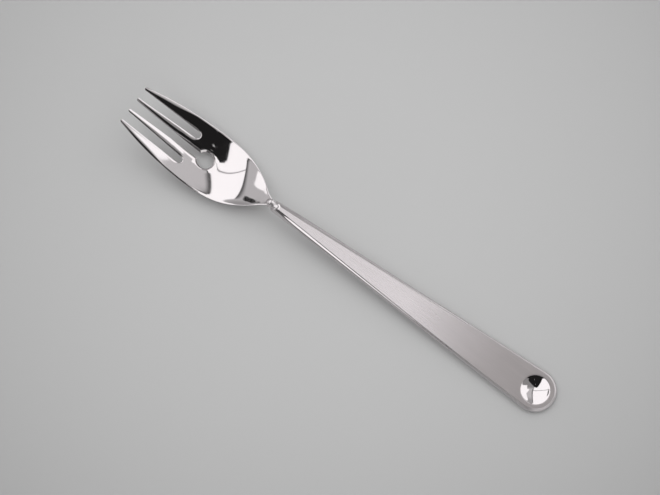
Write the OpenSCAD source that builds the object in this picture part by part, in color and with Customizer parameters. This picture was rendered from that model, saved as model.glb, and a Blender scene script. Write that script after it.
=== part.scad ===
// Four-tine fish fork, lying face up as on a table, in millimetres.
// The tines point along -X, the handle along +X, and the table is the plane z = 0.
// Lengths are counted from the tine tips, and the whole fork is then centred on the origin.

/* [Head] */
// Length of the head, from the tine tips to the face where the handle starts
head_len = 64.2; // [56:0.1:74]
// Width of the head at its widest place
head_w = 24.4; // [21:0.2:28]
// Distance of the widest place from the tine tips
widest_from_tips = 33; // [29:0.5:37]
// Width of the bowl at the shoulder, where it turns in to the neck
shoulder_w = 9.9; // [8.5:0.1:11]
// Distance of the shoulder from the face where the handle starts
shoulder_from_neck = 7; // [6:0.25:8]
// How fast each side closes in at the shoulder, in mm per mm of length
shoulder_taper = 0.72; // [0.5:0.02:0.9]
// How fast each side opens at the tine tips, in mm per mm of length
tip_flare = 0.26; // [0.15:0.01:0.35]
// Thickness of the sheet in the bowl
bowl_t = 2; // [1.5:0.1:2.3]
// Thickness of the tines at their tips
tip_t = 1.1; // [0.8:0.1:1.6]

/* [Side view] */
// Length of the straight part of the tines, from their tips
straight_len = 27; // [23:0.5:30]
// How fast the straight part of the tines rises, in mm per mm of length
tine_rise = 0.29; // [0.24:0.01:0.34]
// Height of the rim of the bowl above the table, at its lowest
rim_height = 4.2; // [3.6:0.1:5]
// Distance of the lowest place of the bowl from the tine tips
low_from_tips = 44; // [41:0.5:47]
// Height of the axis of the neck above the table, where the handle starts
neck_height = 6.6; // [5.8:0.05:7.4]

/* [Tines] */
// Width of each tine at its tip
tip_w = 1.1; // [0.8:0.05:1.4]
// Distance between the two inner tips, from middle to middle
inner_tips_apart = 5.2; // [4.8:0.1:5.8]
// Distance between the two outer tips, from middle to middle
outer_tips_apart = 15.1; // [14:0.1:16]
// Length of the two outer gaps, from the tips to the bottom of the gap
outer_gap_len = 26.3; // [22:0.1:30]
// Width of the outer gaps at the bottom
outer_gap_w = 2.64; // [2.2:0.02:3]
// Distance between the two outer gaps at the bottom, from middle to middle
outer_gaps_apart = 11.66; // [11:0.02:12.4]
// Width of the middle gap where it opens into the round hole
middle_gap_w = 2.6; // [2:0.1:3.2]
// Diameter of the round hole at the bottom of the middle gap
hole_d = 6.3; // [5:0.1:7]
// Distance of the middle of the round hole from the tine tips
hole_from_tips = 32.6; // [30:0.1:36]

/* [Neck and tang] */
// Diameter of the round neck
neck_d = 3.4; // [3:0.1:3.8]
// Length of the straight part of the neck
neck_len = 1.4; // [1.4:0.1:2.4]
// Diameter of the tang that goes into the handle
tang_d = 2; // [1.6:0.1:2.2]
// Length of the tang
tang_len = 14; // [8:0.5:20]
// Gap all round the tang that the filler metal takes up
filler_gap = 0.2; // [0.1:0.02:0.3]
// Clearance between the filler metal and the faces beside it
filler_clearance = 0.02; // [0.01:0.01:0.03]
// Room left in the socket past the end of the tang
socket_room = 0.4; // [0.2:0.1:1]

/* [Handle] */
// Length of the handle
handle_len = 125.8; // [110:0.1:140]
// Width of the handle at the neck
handle_front_w = 4.4; // [4.2:0.1:5.4]
// Radius of the round end of the handle
handle_end_r = 8; // [7:0.1:9.5]
// Thickness of the handle at the neck
handle_front_t = 4; // [3.6:0.1:4.6]
// Thickness of the handle at its round end
handle_end_t = 2.4; // [2:0.1:3]
// How far the round end turns up from the line of the tang
handle_rise = 4.4; // [2:0.2:5]
// Depth that is ground off the underside at the end, so that the handle rests flat
rest_grind = 0.25; // [0.15:0.05:0.5]
// Radius of the two corners at the neck, seen from above
front_corner_r = 0.6; // [0.4:0.1:1.4]
// Width of the polished shoulder beside the flat top, at the neck
shoulder_front_w = 1.6; // [1.2:0.05:1.7]
// Width of the polished shoulder beside the flat top, at the round end
shoulder_end_w = 1.05; // [0.6:0.05:1.6]
// Length of the bevel in front of the flat top
front_bevel = 2; // [1.2:0.1:2.6]
// How far each side of the flat top bulges past a straight taper
flat_swell = 0.3; // [0:0.05:0.5]
// Drop of the polished shoulder from the flat top to its outer edge
shoulder_drop = 0.5; // [0.3:0.05:0.8]
// How far the rounded underside draws in at the neck
belly_front_w = 1.6; // [1.2:0.1:1.8]
// How far the rounded underside draws in at the round end
belly_end_w = 3; // [2:0.1:4]

/* [Dimple] */
// Diameter of the polished dimple
dimple_d = 10.8; // [8:0.2:12]
// Depth of the polished dimple
dimple_depth = 1.2; // [0.5:0.1:1.4]

/* [Hidden] */
$fn = 64;

// Number of cross-sections along the head, and of steps across it
head_sections = 44;
head_steps = 14;
// Points along each edge of the middle gap, and steps round the handle's outline and belly
gap_steps = 8;
corner_steps = 4;
side_steps = 12;
end_steps = 14;
belly_steps = 6;
// Length by which a cutting shape stands clear of what it cuts
overcut = 1;
// Share of the neck's diameter that the end of the sheet takes up
sheet_end_share = 0.76;
// Largest share of the half width that a round corner of the handle takes up
corner_share = 0.6;
// Slope of the middle of the head at the neck, and of its hollow at the tips, at the bend and at the neck
middle_neck_slope = 0.15;
hollow_tip_slope = 0.065;
hollow_bend_slope = 0.04;
hollow_neck_slope = -0.05;

tip_r = tip_w / 2;
inner_tip_y = inner_tips_apart / 2;
outer_tip_y = outer_tips_apart / 2;
outer_gap_y = outer_gaps_apart / 2;
outer_gap_r = outer_gap_w / 2;
hole_r = hole_d / 2;
bowl_hollow = rim_height - bowl_t;
bend_hollow = bowl_hollow * 3 / 4;
tip_hollow = bowl_hollow / 10;
bend_height = bowl_t + tine_rise * (low_from_tips - straight_len) / 2;
tip_height = bend_height + tine_rise * straight_len;
socket_d = tang_d + 2 * filler_gap;
socket_len = tang_len + socket_room;

// The sheet of the head runs into the neck and stops inside it
sheet_end = head_len - neck_len / 3;
sheet_end_w = neck_d * sheet_end_share;
sheet_end_z = neck_height + bowl_t / 2;

// Each row is a distance from the tips, the value there and its slope
half_width_stations = [
    [0, outer_tip_y + tip_r, tip_flare],
    [widest_from_tips, head_w / 2, 0],
    [head_len - shoulder_from_neck, shoulder_w / 2, -shoulder_taper],
    [sheet_end, sheet_end_w / 2, 0]
];
middle_stations = [
    [0, tip_height, -tine_rise],
    [straight_len, bend_height, -tine_rise],
    [low_from_tips, bowl_t, 0],
    [sheet_end, sheet_end_z, middle_neck_slope]
];
// The hollow is the depth of the middle below the outer edge
hollow_stations = [
    [0, tip_hollow, hollow_tip_slope],
    [straight_len, bend_hollow, hollow_bend_slope],
    [low_from_tips, bowl_hollow, 0],
    [sheet_end, 0, hollow_neck_slope]
];
thickness_stations = [
    [0, tip_t, 0],
    [low_from_tips, bowl_t, 0],
    [sheet_end, bowl_t, 0]
];

// The top of the handle leaves the neck along the tang and turns up, so that the round end lies on the table
handle_top = handle_front_t / 2;
handle_lift = handle_top + handle_rise;
handle_reach = norm([handle_len, handle_lift]);
handle_pitch = acos((handle_end_t - neck_height) / handle_reach) - atan2(handle_len, handle_lift);
end_center = handle_len - handle_end_r;
under_end_t = handle_end_t + rest_grind;
fork_len = head_len + handle_len * cos(handle_pitch) + (handle_lift - shoulder_drop) * sin(handle_pitch);
dimple_tilt = atan(2 * handle_rise * end_center / pow(handle_len, 2));
dimple_r = (dimple_d * dimple_d / 4 + dimple_depth * dimple_depth) / (2 * dimple_depth);

// Cubic curve between two stations, as a value at distance x
function between(a, b, x) =
    let(span = b[0] - a[0], t = (x - a[0]) / span, s = 1 - t)
    a[1] * s * s * (1 + 2 * t) + b[1] * t * t * (3 - 2 * t)
    + span * t * s * (a[2] * s - b[2] * t);

// Smooth curve through a list of stations, as a value at distance x
function along(stations, x, i = 0) =
    i == len(stations) - 2 || x <= stations[i + 1][0]
    ? between(stations[i], stations[i + 1], x)
    : along(stations, x, i + 1);

// Height of the upper face of the head at a distance x from the tips, at share s of its half width
function upper_z(x, s) =
    along(middle_stations, x) + along(hollow_stations, x) * s * s;

// Half width of the middle gap at a distance x from the tips
function middle_gap_half(x) =
    let(mouth = inner_tip_y - tip_r, share = 1 - x / hole_from_tips)
    middle_gap_w / 2 + (mouth - middle_gap_w / 2) * share * share;

// Triangles that close a ring of n points, whose points j and n - 1 - j lie opposite each other
function cap_faces(n, first, flip) =
    [for (j = [0 : floor(n / 2) - 1], half = [0, 1])
        if (j + 1 < n - 1 - half - j)
            let(t = half == 0 ? [j, j + 1, n - 1 - j] : [j + 1, n - 2 - j, n - 1 - j])
            [for (k = [0 : 2]) first + t[flip ? 2 - k : k]]];

// Faces of a stack of rings, each with n points, closed at the first ring and at the last
function stack_faces(rings, n) = concat(
    cap_faces(n, 0, false),
    [for (i = [0 : rings - 2], j = [0 : n - 1], half = [0, 1])
        let(a = i * n + j, b = i * n + (j + 1) % n)
        half == 0 ? [a, a + n, b] : [b, a + n, b + n]],
    cap_faces(n, (rings - 1) * n, true)
);

// Cross-section of the head at a distance x from the tips: upper face, then lower face
function head_section(x) =
    let(half = along(half_width_stations, x), t = along(thickness_stations, x))
    concat(
        [for (j = [0 : head_steps])
            let(s = 1 - 2 * j / head_steps)
            [x, half * s, upper_z(x, s)]],
        [for (j = [0 : head_steps])
            let(s = 2 * j / head_steps - 1)
            [x, half * s, upper_z(x, s) - t]]
    );

// Bulge at share t of a side, which is 1 at two thirds of it
function bulge(t) = 27 / 4 * t * t * (1 - t);

// Outline of a tapered tongue with round corners and a round end, seen from above.
// front: its front edge, half: half width there, end_r: radius of the round end, swell: bulge of the sides
function tongue(front, half, end_r, swell = 0) =
    let(
        corner = min(front_corner_r, half * corner_share),
        reach = end_center - front,
        lean = asin(end_r / norm([reach, half])) - atan2(half, reach),
        corner_y = half - corner * (1 - sin(lean)) / cos(lean),
        turn = 90 + lean,
        from = [front + corner + corner * cos(turn), corner_y + corner * sin(turn)],
        to = [end_center + end_r * cos(turn), end_r * sin(turn)],
        upper = concat(
            [for (i = [0 : corner_steps])
                let(a = 180 - (180 - turn) * i / corner_steps)
                [front + corner + corner * cos(a), corner_y + corner * sin(a)]],
            [for (i = [1 : side_steps - 1])
                let(t = i / side_steps)
                from + (to - from) * t + [0, swell * bulge(t)]],
            [for (i = [0 : end_steps])
                let(a = turn * (1 - i / end_steps))
                [end_center + end_r * cos(a), end_r * sin(a)]]
        ),
        last = len(upper) - 1
    )
    concat(upper, [for (i = [last - 1 : -1 : 0]) [upper[i][0], -upper[i][1]]]);

// Thickness of the unground handle at a distance x from its front
function handle_t(x) = handle_front_t + (under_end_t - handle_front_t) * x / handle_len;

// Height of the top of the handle over the line of the tang, at a distance x from its front
function top_z(x) = handle_top + handle_rise * pow(x / handle_len, 2);

// Ring of the rounded underside, at angle a from the outer edge (0) to the flat of the belly (90)
function belly_ring(a) =
    let(inset = 1 - cos(a))
    [for (p = tongue(0, handle_front_w / 2 - inset * belly_front_w, handle_end_r - inset * belly_end_w))
        [p[0], p[1], top_z(p[0]) - shoulder_drop - (handle_t(p[0]) - shoulder_drop) * sin(a)]];

// Ring round the flat top of the handle
function top_ring() =
    let(half = handle_front_w / 2 - shoulder_front_w)
    [for (p = tongue(front_bevel, half, handle_end_r - shoulder_end_w, flat_swell))
        [p[0], p[1], top_z(p[0])]];

// Places its children where the handle starts, with X along the tang and into the handle
module at_joint() {
    translate([head_len, 0, neck_height])
        rotate([0, handle_pitch, 0])
            children();
}

// Round bar along the tang, from one distance to another
module bar(d, from, to) {
    translate([from, 0, 0])
        rotate([0, 90, 0])
            cylinder(d = d, h = to - from);
}

// Curved sheet of the head, before the gaps are cut
module head_blank() {
    sections = [for (i = [0 : head_sections]) head_section(sheet_end * i / head_sections)];
    n = 2 * (head_steps + 1);
    polyhedron(
        points = [for (section = sections, p = section) p],
        faces = stack_faces(len(sections), n)
    );
}

// Middle gap and the round hole at its bottom, seen from above
module middle_gap() {
    edge = [for (i = [0 : gap_steps])
        let(x = (hole_from_tips + overcut) * i / gap_steps - overcut)
        [x, middle_gap_half(x)]];
    polygon(concat(edge, [for (i = [gap_steps : -1 : 0]) [edge[i][0], -edge[i][1]]]));
    translate([hole_from_tips, 0])
        circle(r = hole_r);
}

// One outer gap with its round bottom, seen from above
module outer_gap() {
    bottom = outer_gap_len - outer_gap_r;
    near = [inner_tip_y + tip_r, outer_gap_y - outer_gap_r];
    far = [outer_tip_y - tip_r, outer_gap_y + outer_gap_r];
    mouth = -overcut / bottom;
    polygon([
        [-overcut, near[0] + (near[1] - near[0]) * mouth],
        [bottom, near[1]],
        [bottom, far[1]],
        [-overcut, far[0] + (far[1] - far[0]) * mouth]
    ]);
    translate([bottom, outer_gap_y])
        circle(r = outer_gap_r);
}

// What is cut off in front of one tip to leave it round, seen from above
module tip_corners() {
    difference() {
        translate([-overcut, -tip_w])
            square([overcut + tip_r, 2 * tip_w]);
        translate([tip_r, 0])
            circle(r = tip_r);
    }
}

// Everything that is cut out of the sheet to leave the four tines, seen from above
module tine_cuts() {
    middle_gap();
    for (side = [0, 1])
        mirror([0, side])
            outer_gap();
    for (y = [-outer_tip_y, -inner_tip_y, inner_tip_y, outer_tip_y])
        translate([0, y])
            tip_corners();
}

// Tines, bowl, neck and tang, in one forging
module fork_head() {
    color("gainsboro")
        translate([-fork_len / 2, 0, 0]) {
            difference() {
                head_blank();
                translate([0, 0, -overcut])
                    linear_extrude(height = tip_height + tip_hollow + 2 * overcut)
                        tine_cuts();
            }
            at_joint() {
                translate([-neck_len, 0, 0])
                    sphere(d = neck_d);
                bar(neck_d, -neck_len, 0);
                bar(tang_d, 0, tang_len);
            }
        }
}

// Bar of the handle before the dimple, the socket and the rest face are cut
module handle_bar() {
    belly_rings = [for (i = [0 : belly_steps]) belly_ring(90 * i / belly_steps)];
    rings = concat([top_ring()], belly_rings);
    polyhedron(
        points = [for (ring = rings, p = ring) p],
        faces = stack_faces(len(rings), len(rings[0]))
    );
}

// Tapered handle with a flat top, a dimple, a socket for the tang and a flat to rest on
module handle() {
    color("silver")
        translate([-fork_len / 2, 0, 0])
            difference() {
                at_joint()
                    difference() {
                        handle_bar();
                        translate([end_center, 0, top_z(end_center)])
                            rotate([0, -dimple_tilt, 0])
                                translate([0, 0, dimple_r - dimple_depth])
                                    sphere(r = dimple_r);
                        bar(socket_d, -overcut, socket_len);
                    }
                translate([0, -head_w, -handle_front_t])
                    cube([fork_len + overcut, 2 * head_w, handle_front_t]);
            }
}

// Filler metal between the tang and its socket
module braze_sleeve() {
    color("khaki")
        translate([-fork_len / 2, 0, 0])
            at_joint()
                difference() {
                    bar(socket_d - 2 * filler_clearance, filler_clearance, tang_len);
                    bar(tang_d + 2 * filler_clearance, -overcut, tang_len + overcut);
                }
}

fork_head();
handle();
braze_sleeve();
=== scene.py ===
"""Fish fork lying face up on a pale table: polished head, brushed handle and the brazed joint inside."""

import logging
import math
from collections.abc import Callable, Mapping, Sequence
from dataclasses import dataclass, field
from enum import Enum
from typing import Any

import bmesh
import bpy
import numpy as np
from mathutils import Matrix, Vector
from mathutils.geometry import delaunay_2d_cdt

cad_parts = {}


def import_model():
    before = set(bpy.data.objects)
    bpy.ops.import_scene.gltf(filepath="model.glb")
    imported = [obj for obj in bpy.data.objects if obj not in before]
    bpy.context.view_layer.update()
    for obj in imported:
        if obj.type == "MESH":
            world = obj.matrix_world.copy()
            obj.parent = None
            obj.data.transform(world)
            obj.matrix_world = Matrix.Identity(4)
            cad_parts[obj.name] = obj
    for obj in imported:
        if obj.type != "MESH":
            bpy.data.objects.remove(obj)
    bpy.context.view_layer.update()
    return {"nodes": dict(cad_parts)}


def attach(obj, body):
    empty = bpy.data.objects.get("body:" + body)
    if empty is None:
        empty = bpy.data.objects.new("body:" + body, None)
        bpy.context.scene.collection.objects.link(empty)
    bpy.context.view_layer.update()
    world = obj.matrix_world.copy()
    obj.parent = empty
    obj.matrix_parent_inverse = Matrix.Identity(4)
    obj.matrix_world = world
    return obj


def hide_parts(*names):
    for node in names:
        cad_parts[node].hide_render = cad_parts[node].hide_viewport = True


MM = 0.001
WELD = 1e-7
CREASE = 35.0

Triple = tuple[float, float, float]
Span = tuple[float, float]
Band = tuple[Span, Span]
Profile = tuple[tuple[float, ...], tuple[float, ...]]

log = logging.getLogger("fish_fork")


class HandleFace(Enum):
    """The finishes of the handle, by their place in its list of materials."""

    BRUSHED = 0
    SHOULDER = 1
    DIMPLE = 2


class Value:
    """A socket of a shader, with the operators that add Math nodes behind it."""

    def __init__(self, graph: "Graph", socket: bpy.types.NodeSocket) -> None:
        """Keeps the socket and the graph it belongs to."""
        self.graph = graph
        self.socket = socket

    def _math(self, operation: str, *operands: "Value | float") -> "Value":
        """Adds one Math node.

        Args:
            operation: Name of the Math node's operation.
            operands: Values or numbers for its inputs, in order.

        Returns:
            The node's result.
        """
        return self.graph.node("ShaderNodeMath", {"operation": operation}, dict(enumerate(operands)))

    def sibling(self, output: int | str) -> "Value":
        """Another output of the same node."""
        return Value(self.graph, self.socket.node.outputs[output])

    def __add__(self, other: "Value | float") -> "Value":
        """Sum of the two."""
        return self._math("ADD", self, other)

    __radd__ = __add__

    def __sub__(self, other: "Value | float") -> "Value":
        """This less the other."""
        return self._math("SUBTRACT", self, other)

    def __rsub__(self, other: "Value | float") -> "Value":
        """The other less this."""
        return self._math("SUBTRACT", other, self)

    def __mul__(self, other: "Value | float") -> "Value":
        """Product of the two."""
        return self._math("MULTIPLY", self, other)

    __rmul__ = __mul__

    def __truediv__(self, other: "Value | float") -> "Value":
        """This over the other."""
        return self._math("DIVIDE", self, other)

    def __or__(self, other: "Value | float") -> "Value":
        """The larger of the two."""
        return self._math("MAXIMUM", self, other)

    def rise(self, start: float, end: float) -> "Value":
        """Smooth step of this value.

        Args:
            start: Where the result is 0.
            end: Where the result is 1; it may be lower than start.

        Returns:
            The step, from 0 to 1.
        """
        low, high, first, last = (start, end, 0.0, 1.0) if start < end else (end, start, 1.0, 0.0)
        return self.graph.node(
            "ShaderNodeMapRange",
            {"interpolation_type": "SMOOTHSTEP"},
            {0: self, 1: low, 2: high, 3: first, 4: last},
        )


class Graph:
    """The node tree of one material or of the world."""

    NOISE_ROUGHNESS = 0.55

    def __init__(self, owner: bpy.types.Material | bpy.types.World) -> None:
        """Empties the owner's node tree and keeps it."""
        owner.use_nodes = True
        self.tree = owner.node_tree
        self.tree.nodes.clear()

    def node(
        self,
        kind: str,
        settings: Mapping[str, Any] | None = None,
        inputs: Mapping[int | str, Any] | None = None,
        output: int | str = 0,
    ) -> Value:
        """Adds a node of any type.

        Args:
            kind: Type of the node.
            settings: Its properties, set before its sockets.
            inputs: Values or links of its sockets, by name or number.
            output: The output that is handed back.

        Returns:
            That output, if the node has any.
        """
        made = self.tree.nodes.new(kind)
        for name, setting in (settings or {}).items():
            setattr(made, name, setting)
        for name, given in (inputs or {}).items():
            if isinstance(given, Value):
                self.tree.links.new(given.socket, made.inputs[name])
            else:
                made.inputs[name].default_value = given
        return Value(self, made.outputs[output]) if len(made.outputs) else None

    def place(self, stretch: Sequence[float], turn: float = 0.0) -> Value:
        """Coordinates of the surface in the fork's own frame.

        Args:
            stretch: Scale along each axis, per metre.
            turn: Turn about Z, in radians.

        Returns:
            The scaled coordinates.
        """
        where = self.node("ShaderNodeTexCoord", output="Object")
        given = {"Vector": where, "Rotation": (0.0, 0.0, turn), "Scale": stretch}
        return self.node("ShaderNodeMapping", None, given)

    def noise(self, stretch: Sequence[float], detail: float = 2.0, turn: float = 0.0) -> Value:
        """Noise between 0 and 1, stretched along the axes of the fork's frame."""
        given = {"Vector": self.place(stretch, turn), "Scale": 1.0, "Detail": detail}
        return self.node("ShaderNodeTexNoise", None, given | {"Roughness": self.NOISE_ROUGHNESS})

    def along(self) -> Value:
        """Place along the surface's X axis, in metres."""
        return self.node("ShaderNodeSeparateXYZ", None, {0: self.place((1.0, 1.0, 1.0))})

    def mix(self, share: Value, first: Any, second: Any) -> Value:
        """Colour between two colours or colour values, by a share from 0 to 1."""
        return self.node("ShaderNodeMix", {"data_type": "RGBA"}, {0: share, 6: first, 7: second}, output=2)

    def blend(self, share: Value, first: Sequence[float], second: Sequence[float]) -> Value:
        """Colour between two plain colours, by a share from 0 to 1."""
        return self.mix(share, (*first, 1.0), (*second, 1.0))

    def bump(self, height: Value, distance: float, strength: float = 1.0) -> Value:
        """Normal bent by a height, which counts in metres times the distance."""
        return self.node("ShaderNodeBump", None, {"Strength": strength, "Distance": distance, "Height": height})

    def surface(self, shader: Value) -> None:
        """Links a shader to the output of a material."""
        self.node("ShaderNodeOutputMaterial", None, {"Surface": shader})

    def metal(self, colour: Value, roughness: Value, normal: Value) -> None:
        """Makes the material a bare metal.

        Args:
            colour: Its colour.
            roughness: Its roughness.
            normal: Its bent normal.
        """
        given = {"Base Color": colour, "Metallic": 1.0, "Roughness": roughness, "Normal": normal}
        self.surface(self.node("ShaderNodeBsdfPrincipled", None, given))


@dataclass(frozen=True)
class PolishedSteel:
    """Mirror-polished stainless steel with the fine hairlines of the last buffing."""

    name: str = "polished_steel"
    tint: Triple = (0.680, 0.645, 0.654)
    shade: Triple = (0.638, 0.604, 0.612)
    roughness: float = 0.045
    hairline: float = 0.05
    patchy: float = 0.02
    wave: float = 1.5e-6
    dull: float = 0.0
    dull_span: Span = (0.022, 0.070)
    hair: Triple = (120.0, 5200.0, 5200.0)
    hair_turn: float = 0.35
    hair_span: Span = (0.58, 0.74)
    cross: Triple = (160.0, 6400.0, 6400.0)
    cross_turn: float = -0.5
    cross_span: Span = (0.62, 0.76)
    cloud: Triple = (90.0, 90.0, 90.0)
    ripple: Triple = (170.0, 170.0, 170.0)

    def material(self) -> bpy.types.Material:
        """Builds the finish.

        Returns:
            The material.
        """
        made = bpy.data.materials.new(self.name)
        g = Graph(made)
        hair = g.noise(self.hair, detail=3.0, turn=self.hair_turn).rise(*self.hair_span)
        cross = g.noise(self.cross, turn=self.cross_turn).rise(*self.cross_span)
        cloud = g.noise(self.cloud, detail=3.0)
        ripple = g.noise(self.ripple, detail=1.0)
        worn = g.along().rise(*self.dull_span)
        rough = self.roughness + (hair | cross) * self.hairline + cloud * self.patchy + worn * self.dull
        g.metal(g.blend(cloud, self.shade, self.tint), rough, g.bump(ripple, self.wave))
        return made


@dataclass(frozen=True)
class BrushedSteel:
    """Stainless steel brushed along the handle; the strokes lean a little towards the round end, which is
    rougher and carries a darker painted shade.
    """

    name: str = "brushed_steel"
    tint: Triple = (0.662, 0.620, 0.634)
    shade: Triple = (0.618, 0.580, 0.592)
    # Darker colours towards the round end: painted shade, standing in for the darker surroundings that the end
    # mirrors.
    painted_shade_end_tint: Triple = (0.520, 0.482, 0.482)
    painted_shade_end_dark: Triple = (0.470, 0.436, 0.438)
    coarse_and_painted_shade_span: Span = (0.1, 1.1)
    roughness: float = 0.22
    spread: float = 0.10
    coarse: float = 0.10
    scratch: float = 0.8e-6
    lean: float = 0.10
    lean_from: float = 0.030
    lean_run: float = 0.045
    fine: Triple = (55.0, 6500.0, 300.0)
    broad: Triple = (16.0, 2300.0, 150.0)
    streak_span: Span = (0.3, 0.7)
    cloud: Triple = (55.0, 210.0, 55.0)
    cloud_turn: float = 0.12
    cloud_span: Span = (0.32, 0.66)

    def material(self) -> bpy.types.Material:
        """Builds the finish.

        Returns:
            The material.
        """
        made = bpy.data.materials.new(self.name)
        g = Graph(made)
        streak = g.noise(self.fine) * 0.5 + g.noise(self.broad) * 0.5
        past = ((g.along() - self.lean_from) | 0.0) / self.lean_run
        height = streak * self.scratch - past * past * (self.lean * self.lean_run / 2)
        cloud = g.noise(self.cloud, turn=self.cloud_turn)
        stroke = streak.rise(*self.streak_span) * 0.5 + cloud.rise(*self.cloud_span) * 0.5
        # Share of the way to the round end: it makes the end rougher and mixes in the painted shade colours.
        far = past.rise(*self.coarse_and_painted_shade_span)
        front, end = g.blend(stroke, self.shade, self.tint), g.blend(stroke, self.painted_shade_end_dark, self.painted_shade_end_tint)
        rough = self.roughness + streak * self.spread + far * self.coarse
        g.metal(g.mix(far, front, end), rough, g.bump(height, 1.0))
        return made


@dataclass(frozen=True)
class FillerMetal:
    """Silver brazing alloy as it set in the joint."""

    name: str = "filler_metal"
    tint: Triple = (0.74, 0.69, 0.54)
    shade: Triple = (0.60, 0.52, 0.38)
    roughness: float = 0.38
    spread: float = 0.2
    grain: Triple = (500.0, 900.0, 900.0)
    relief: float = 2e-5
    strength: float = 0.6

    def material(self) -> bpy.types.Material:
        """Builds the finish.

        Returns:
            The material.
        """
        made = bpy.data.materials.new(self.name)
        g = Graph(made)
        flow = g.noise(self.grain, detail=4.0)
        rough = self.roughness + flow * self.spread
        g.metal(g.blend(flow, self.shade, self.tint), rough, g.bump(flow, self.relief, self.strength))
        return made


@dataclass(frozen=True)
class PaleTable:
    """Matt pale grey sheet that the fork lies on, with painted shade that makes it a little darker away from
    the middle.
    """

    name: str = "pale_table"
    tint: Triple = (0.692, 0.692, 0.692)
    shade: Triple = (0.679, 0.679, 0.679)
    # Grey towards the edges: painted shade of the light falling off.
    painted_falloff_grey: Triple = (0.364, 0.364, 0.364)
    cloud: Triple = (9.0, 9.0, 9.0)
    reach: Span = (0.122, 0.095)
    away: float = 0.029
    bow: Span = (0.23, 0.142)
    fall_span: Span = (-0.6, 1.6)
    fall_gain: float = 2.0
    fall_less: float = 0.39
    roughness: float = 0.85
    gloss: float = 0.1

    def material(self) -> bpy.types.Material:
        """Builds the finish.

        Returns:
            The material.
        """
        made = bpy.data.materials.new(self.name)
        g = Graph(made)
        right = g.along()
        u, v = right / self.reach[0], (right.sibling(1) - self.away) / self.reach[1]
        # Painted shade: the sheet darkens away from the middle.
        bow = (u * u * self.bow[0] + v * v * self.bow[1]).rise(*self.fall_span)
        pale = g.blend(g.noise(self.cloud, detail=4.0), self.shade, self.tint)
        colour = g.mix(bow * self.fall_gain - self.fall_less, pale, (*self.painted_falloff_grey, 1.0))
        matt = {"Base Color": colour, "Roughness": self.roughness, "Specular IOR Level": self.gloss}
        g.surface(g.node("ShaderNodeBsdfPrincipled", None, matt))
        return made


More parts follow.
